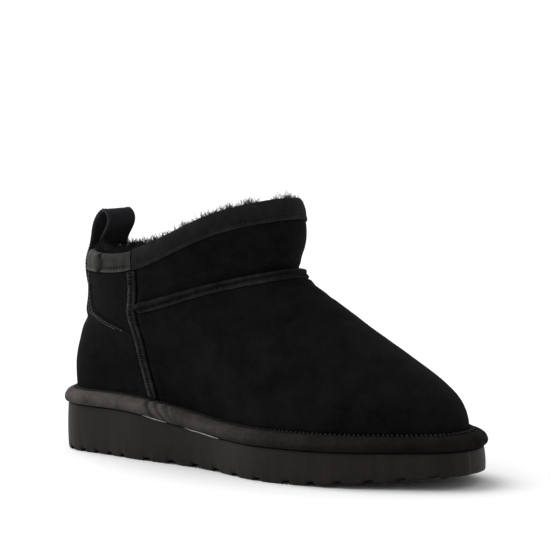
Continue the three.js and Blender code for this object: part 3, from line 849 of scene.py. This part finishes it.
def foxing_band():
    """The padded wrap: a roll, a stitched groove, and the turned edge against the upper."""
    a = np.linspace(0, 2 * np.pi, 1081)[:-1]
    x = SOLE_LENGTH * (1 - np.cos(a)) / 2
    lateral = np.sin(a) > 0
    past = x - FOXING_LAP
    rows, shades = [], []
    for across, up in FOXING_PROFILE:
        outer = smooth(across * 1.6)
        line = past + 9 * (up - 0.5)
        lap = np.where(lateral, smooth(0.5 + line / 1.4) * smooth((38 - line) / 38), 0)
        pinch = np.where(lateral, bump(line + 0.8, 1.3), 0)
        pucker = np.where(lateral, smooth(line / 4) * smooth((30 - line) / 26), 0)
        wave = np.sin(line * 1.15 + 1.3 * np.sin(line * 0.31) + 3.0 * up)
        p = foxing_section(a, np.full(len(a), across), np.full(len(a), up))
        wrinkle = 0.22 * noise(p, 7) + 0.16 * noise(p, 2.4)
        small = np.sin(3.1 * x + 6 * up) * 0.05 * smooth((x - 100) / 60)
        swell = outer * (1.0 * lap + 0.65 * wave * pucker - 1.1 * pinch + wrinkle + small)
        rise = up + 0.10 * outer * lap * up - 0.10 * pinch * up + 0.02 * noise(p, 8) * up
        rows.append(foxing_section(a, np.full(len(a), across), rise, swell))
        # Painted light on the band: lighter toward the heel, where the key light falls, and up on the roll;
        # painted shade in the stitched groove, in the pinch and in the puckers' troughs, with painted
        # highlights on their crests.
        along = 2.75 - 2.4 * smooth((x - 20) / 225)
        painted_top_light = 0.75 + 0.35 * smooth((up - 0.1) / 0.5)
        painted_groove_shade = 1 - 0.55 * bump(across - 0.23, 0.05)
        shades.append(along * painted_top_light * painted_groove_shade * (1 + 0.4 * wave * pucker) * (1 - 0.75 * pinch))
    loft(
        "foxing_wrap", np.stack(rows, 1), FOXING_SUEDE,
        closed=True, replaces=("foxing_band",), shade=np.stack(shades, 1),
    )


def foxing_stitches():
    """Whip stitches that tie the band's turned edge to the upper."""
    a = np.linspace(0, 2 * np.pi, 4000)
    plan = edge(a)
    length = travelled(plan)
    pitch = 2.6
    count = int(length[-1] / pitch)
    rng = np.random.default_rng(3)
    spots = np.interp((np.arange(count) + rng.uniform(-0.12, 0.12, count)) * pitch, length, a)
    paths = []
    for share in np.linspace(0, 1, 5):
        lean = spots + 0.005 * share
        across = 0.27 - 0.26 * share + np.zeros(count)
        up = 0.99 + 0.12 * math.sin(math.pi * (0.1 + 0.75 * share))
        paths.append(foxing_section(lean, across, up))
    tubes("foxing_stitches", np.stack(paths, 1), 0.34, FOXING_THREAD)


def glue_lines():
    """Thin beads of dried adhesive under the band, either side of the overlap."""
    for name, first, last in (("glue_bead_1", 78.0, 96.0), ("glue_bead_2", 109.0, 139.0)):
        x = np.linspace(first, last, 40)
        a = np.arccos(1 - 2 * x / SOLE_LENGTH)
        p = foxing_section(a, np.full(len(a), 0.86), np.full(len(a), -0.03))
        p[:, 2] += 0.25 * noise(p, 5)
        swell = np.sin(np.linspace(0, np.pi, 40)) ** 0.5
        tubes(name, p[None], 0.32, GLUE, taper=0.25 + 0.75 * swell)


# ---- bindings --------------------------------------------------------------
# The outer leg: how far up it is, and how much it stands off beyond the tape's thickness.
BINDING_LEG = [
    (-0.01, 0.0), (0.05, 0.15), (0.11, 0.1), (0.17, 0.0), (0.23, -0.12),
    (0.3, 0.0), (0.48, 0.25), (0.7, 0.25), (0.88, 0.0), (0.97, -0.25),
]
# Painted light up that leg: lighter on the hem's fold and the rounded top, darker for painted shade in the
# stitched groove.
BINDING_PAINTED_LIGHT = {
    "up": (0, 0.06, 0.14, 0.2, 0.27, 0.5, 0.9, 1),
    "shade": (1.9, 1.5, 1.0, 0.7, 1.0, 1.05, 1.15, 1.3),
}


def binding(name, a, tape_material, node, crown, drop, thick, lap=None):
    """Tape folded over the rim: a hemmed outer leg, a rounded top and a short leg inside. With lap, its end
    lies doubled on the heel's side of that angle."""
    low = binding_foot(a, drop)
    doubled = ridge = np.zeros(len(a))
    if lap is not None:
        doubled = smooth(0.5 - (a - lap) / 0.035)
        ridge = bump(a - lap + 0.05, 0.05) - 0.6 * bump(a - lap - 0.03, 0.025)

    def wall(share, out):
        layer = 0 if out < thick - 0.4 else 0.7 * doubled + 0.6 * ridge
        return off_upper(low + (1 - low) * share, a, out + layer)

    def rim(into, lift):
        p = off_upper(np.ones(len(a)), a, np.full(len(a), -into))
        p[:, 2] += lift * (1 + 0.25 * doubled)
        return p

    rows = [wall(0.0, 0.1), wall(-0.02, 0.3)] + [wall(up, thick + out) for up, out in BINDING_LEG]
    leg = [0, 0] + [max(up, 0) for up, _ in BINDING_LEG]
    over = [(-thick + 0.5, 0.7), (-thick + 1.3, 0.8 * crown), (0.7, crown), (1.9, crown)]
    over += [(3.1, 0.75 * crown), (3.9, 0.2), (4.3, -1.6), (4.4, -5.0), (3.7, -5.2)]
    over += [(3.2, -1.0), (2.4, 0.25), (0.8, 0.3)]
    rows += [rim(into, lift) for into, lift in over]
    rows += [wall(up, 0.2) for up in (0.98, 0.6, 0.3)]
    loop = np.stack(rows, 1)
    ripple = 0.14 * noise(loop, 7) + 0.08 * noise(loop, 2.5)
    loop = loop + upper_normal(np.full(len(a), 0.97), a)[:, None] * ripple[..., None]
    share = np.array(leg + [1.0] * (len(rows) - len(leg)))
    shade = np.interp(share, BINDING_PAINTED_LIGHT["up"], BINDING_PAINTED_LIGHT["shade"])
    shade = shade * (1 + 0.3 * noise(loop, 3.5))
    # Painted light at the lapped end: the doubled tape lighter, with a painted shadow along the edge of the
    # end that lies over.
    if lap is not None:
        lap_shadow = bump(a[:, None] - lap - 0.06 * np.sin(np.pi * share), 0.028)
        shade = shade * (1 + 0.5 * doubled[:, None]) * (1 - 0.85 * lap_shadow)
    return loft(name, loop, tape_material, replaces=(node,), shade=shade)


def binding_stitches(name, a, thread_material, pitch, share, drop, out, length, upright=False):
    """Stitches through the tape's outer leg, lying along it or standing upright."""
    low = binding_foot(a, drop)
    t = low + (1 - low) * share
    walk = travelled(upper_point(t, a))
    spots = (np.arange(int(walk[-1] / pitch)) + 0.5) * pitch
    paths = []
    for part in np.linspace(-0.5, 0.5, 5):
        arch = out + 0.35 * math.cos(math.pi * part) - 0.15
        when = np.interp(spots + (0.3 if upright else length) * part, walk, a)
        level = np.interp(when, a, t)
        if upright:
            level = level + part * length * (1 - np.interp(when, a, low)) / drop
        paths.append(off_upper(level, when, arch))
    return tubes(name, np.stack(paths, 1), 0.24, thread_material)


# ---- pull loop -------------------------------------------------------------
LOOP_STEPS = 160  # along the strap
LOOP_HALF_THICKNESS = 0.9


def loop_bow(w, bow):
    """How far forward the strap lies at w of its width, where it follows the round of the heel."""
    return bow * (w * LOOP_WIDTH) ** 2 / (2 * LOOP_BACK_RADIUS)


def pull_loop():
    rim = upper_point(1.0, 0.0)
    out, up = np.array(LOOP_LINE["out"]), np.array(LOOP_LINE["up"])
    knots = np.stack([rim[0] - out, np.zeros(len(up)), rim[2] + up], -1)
    walk = travelled(knots)
    fine = np.linspace(0, walk[-1], LOOP_STEPS)
    line = np.stack([spline(walk, knots[:, k])(fine) for k in range(3)], -1)
    way = unit(np.gradient(line, axis=0))
    normal = np.stack([-way[:, 2], np.zeros(LOOP_STEPS), way[:, 0]], -1)
    bow = smooth((rim[2] + 14 - line[:, 2]) / 14)
    across = np.linspace(-0.5, 0.5, 19)
    loops, shades = [], []
    for side, order in ((1, across), (-1, across[::-1])):
        for w in order:
            # Darker on the strap's outer face over about its first 30 millimetres, the outer leg.
            outer_face_dark = 0.7 * smooth((30 - fine) / 8) if side > 0 else 0
            raw_edge = 0.7 * smooth((abs(w) - 0.43) / 0.05)
            shades.append(1.2 - outer_face_dark + raw_edge + np.zeros(LOOP_STEPS))
            round_off = 1 - 0.75 * smooth((abs(w) - 0.455) / 0.045)
            p = line + normal * (side * LOOP_HALF_THICKNESS * round_off)
            p[:, 0] += loop_bow(w, bow)
            p[:, 1] += w * LOOP_WIDTH
            p = p + normal * (0.22 * noise(p, 9) + 0.08 * noise(p, 3))[:, None]
            loops.append(p)
    loop, shade = np.stack(loops, 1)[:, ::-1], np.stack(shades, 1)[:, ::-1]
    loft("pull_loop_strip", loop, LOOP_SUEDE, replaces=("pull_loop",), shade=shade)
    steps = np.arange(LOOP_STEPS)
    paths = []
    for w in (-0.43, 0.43):
        stitch = []
        for part in (-1.1, 0, 1.1):
            i = np.arange(4, LOOP_STEPS - 12, 4) + part
            p = np.stack([np.interp(i, steps, line[:, k]) for k in range(3)], -1)
            n = np.stack([np.interp(i, steps, normal[:, k]) for k in range(3)], -1)
            p = p + n * (LOOP_HALF_THICKNESS + 0.1 + (0.2 if part == 0 else 0))
            p[:, 0] += loop_bow(w, np.interp(i, steps, bow))
            p[:, 1] += w * LOOP_WIDTH
            stitch.append(p)
        paths.append(np.stack(stitch, 1))
    tubes("loop_stitches", np.concatenate(paths), 0.22, THREAD)


# ---- fleece tufts ----------------------------------------------------------
LOCK_TAPER = (1, 1, 0.9, 0.75, 0.5, 0.15)  # of a strand's radius, root to tip
LOCK_TURN = 4.6  # radians a strand winds from root to tip
STRANDS = 9  # in one lock
RIM_LOCKS = 620
INNER_LOCKS = 640


def tufts(name, roots, aim, clump, length, radius, seed, spread=0.5, curl=0.9):
    """Locks of curly fibre: each root carries clump strands that share a bend."""
    rng = np.random.default_rng(seed)
    locks = len(roots)
    roots = np.repeat(roots, clump, 0)
    lean = np.repeat(rng.normal(0, spread, (locks, 3)), clump, 0)
    aim = unit(np.repeat(aim, clump, 0) + lean + rng.normal(0, 0.22, (locks * clump, 3)))
    count = locks * clump
    size = np.repeat(rng.uniform(0.55, 1.15, locks), clump) * rng.uniform(0.75, 1.1, count) * length
    roots = roots + rng.normal(0, 0.55, (count, 3))
    side = unit(np.cross(aim, rng.normal(0, 1, (count, 3))))
    other = np.cross(aim, side)
    phase = np.repeat(rng.uniform(0, 2 * np.pi, locks), clump) + rng.normal(0, 0.5, count)
    paths = []
    for s in np.linspace(0, 1, len(LOCK_TAPER)):
        turn = phase + s * LOCK_TURN
        swing = curl * s
        p = roots + aim * (size * s * (1 - 0.18 * s))[:, None]
        p = p + side * (swing * (np.cos(turn) - np.cos(phase)))[:, None]
        p = p + other * (swing * (np.sin(turn) - np.sin(phase)))[:, None]
        paths.append(p)
    return tubes(name, np.stack(paths, 1), radius, FLEECE, sides=3, taper=LOCK_TAPER)


def rim_fleece():
    """Locks that stand up inside the rim, fewer at the very front."""
    rng = np.random.default_rng(21)
    count = RIM_LOCKS
    a = rng.uniform(0, 2 * np.pi, count)
    front = 0.5 - 0.5 * np.cos(a)
    depth = rng.uniform(4.6, 7.2, count)
    roots = off_upper(np.full(count, 0.985), a, -depth)
    inward = -upper_normal(np.full(count, 0.95), a)
    aim = inward * rng.uniform(-0.15, 0.5, count)[:, None] + np.array([0, 0, 1.0])
    keep = rng.random(count) < 1 - 0.75 * smooth((front - 0.93) / 0.05)
    tufts("rim_fleece", roots[keep], aim[keep], STRANDS, 8.6, 0.2, 22, spread=0.32, curl=1.4)


def inner_fleece():
    """Locks on the wall below the rim, down to where the view in ends."""
    rng = np.random.default_rng(31)
    count = INNER_LOCKS
    a = rng.uniform(0, 2 * np.pi, count)
    t = 1 - rng.uniform(0.02, 0.42, count)
    roots = off_upper(t, a, -UPPER_WALL + 0.6)
    aim = -upper_normal(t, a) + np.array([0, 0, 0.35])
    tufts("inner_fleece", roots, aim, STRANDS, 4.4, 0.19, 32, spread=0.6, curl=1.1)


outsole()
insole()
upper_shell()
fleece_lining()
piping()
side_seam(1, "lateral_seam")
side_seam(-1, "medial_seam")
counter_stitches()
foxing_band()
foxing_stitches()
glue_lines()
JOINT = float(seam_angle(1.0))  # the bindings meet over the side seams
JOINT_GAP = 0.006
front_arc = np.linspace(JOINT + JOINT_GAP, 2 * np.pi - JOINT - JOINT_GAP, 420)
back_arc = np.linspace(JOINT_GAP - JOINT, JOINT - JOINT_GAP, 300)
COLLAR_DROP, HEEL_DROP = 9.3, 8.8  # depth of each binding's outer leg
TAPE_THICKNESS = 0.8
HEEL_LAP = math.radians(57)
binding(
    "collar_binding_tape", front_arc, COLLAR_TAPE, "collar_binding",
    crown=2.0, drop=COLLAR_DROP, thick=TAPE_THICKNESS,
)
binding(
    "back_binding_tape", back_arc, LIT_HEEL_TAPE, "back_binding",
    crown=1.0, drop=HEEL_DROP, thick=TAPE_THICKNESS, lap=HEEL_LAP,
)
binding_stitches(
    "collar_stitches", front_arc[6:-6], THREAD,
    pitch=2.3, share=0.17, drop=COLLAR_DROP, out=0.62, length=1.3,
)
binding_stitches(
    "back_stitches", back_arc[6:-6], THREAD,
    pitch=2.7, share=0.26, drop=HEEL_DROP, out=0.85, length=2.2, upright=True,
)
pull_loop()
rim_fleece()
inner_fleece()


# ---- floor, light and camera -----------------------------------------------
FLOOR_REACH = 80.0


def stage():
    mesh = bpy.data.meshes.new("floor")
    corners = [(-FLOOR_REACH, -FLOOR_REACH, 0), (FLOOR_REACH, -FLOOR_REACH, 0)]
    corners += [(FLOOR_REACH, FLOOR_REACH, 0), (-FLOOR_REACH, FLOOR_REACH, 0)]
    mesh.from_pydata(corners, [], [(0, 1, 2, 3)])
    floor = link("floor", mesh)
    paper = Surface("white_paper", Roughness=0.9, Specular_IOR_Level=0.1)
    paper.shader.inputs["Base Color"].default_value = (0.93, 0.93, 0.93, 1)
    mesh.materials.append(paper.material)


AZIMUTH = math.radians(40.23)
ELEVATION = math.radians(6.06)
DISTANCE = 1.581
SENSOR = 36.0
LENS = 193.68
AIM_RIGHT, AIM_UP = 0.002805, 0.019669  # slopes of the view's middle away from the line to LOOK_AT
LOOK_AT = row([134.0, 0.0, 70.0])


def face(made, way):
    """Turn a camera or a lamp to look that way."""
    made.rotation_mode = "QUATERNION"
    made.rotation_quaternion = way.to_track_quat("-Z", "Y")


def camera():
    level = math.cos(ELEVATION)
    back = Vector((math.sin(AZIMUTH) * level, -math.cos(AZIMUTH) * level, math.sin(ELEVATION)))
    right = Vector((math.cos(AZIMUTH), math.sin(AZIMUTH), 0))
    up = back.cross(right)
    data = bpy.data.cameras.new("camera")
    data.sensor_width = SENSOR
    data.lens = LENS
    made = link("camera", data)
    made.location = Vector(LOOK_AT) + back * DISTANCE
    way = -back + right * AIM_RIGHT + up * AIM_UP
    face(made, way)
    bpy.context.scene.camera = made


def key_light():
    """A broad, soft lamp from over the heel."""
    sun = bpy.data.lights.new("key", "SUN")
    sun.energy = 2.9
    sun.angle = math.radians(70)
    face(link("key", sun), Vector((0.95, 0.12, -1.0)))


def studio():
    """White all round, brighter near the horizon than overhead."""
    world = bpy.data.worlds.new("studio")
    bpy.context.scene.world = world
    world.use_nodes = True
    nodes, links = world.node_tree.nodes, world.node_tree.links
    split = nodes.new("ShaderNodeSeparateXYZ")
    glow = nodes.new("ShaderNodeMapRange")
    for key, value in {"From Min": 0.12, "From Max": 0.03, "To Min": 0.6, "To Max": 1.25}.items():
        glow.inputs[key].default_value = value
    links.new(nodes.new("ShaderNodeTexCoord").outputs["Generated"], split.inputs[0])
    links.new(split.outputs["Z"], glow.inputs["Value"])
    links.new(glow.outputs[0], nodes["Background"].inputs["Strength"])
    nodes["Background"].inputs["Color"].default_value = (1, 1, 1, 1)
    bpy.context.scene.view_settings.view_transform = "Standard"


stage()
key_light()
studio()
camera()
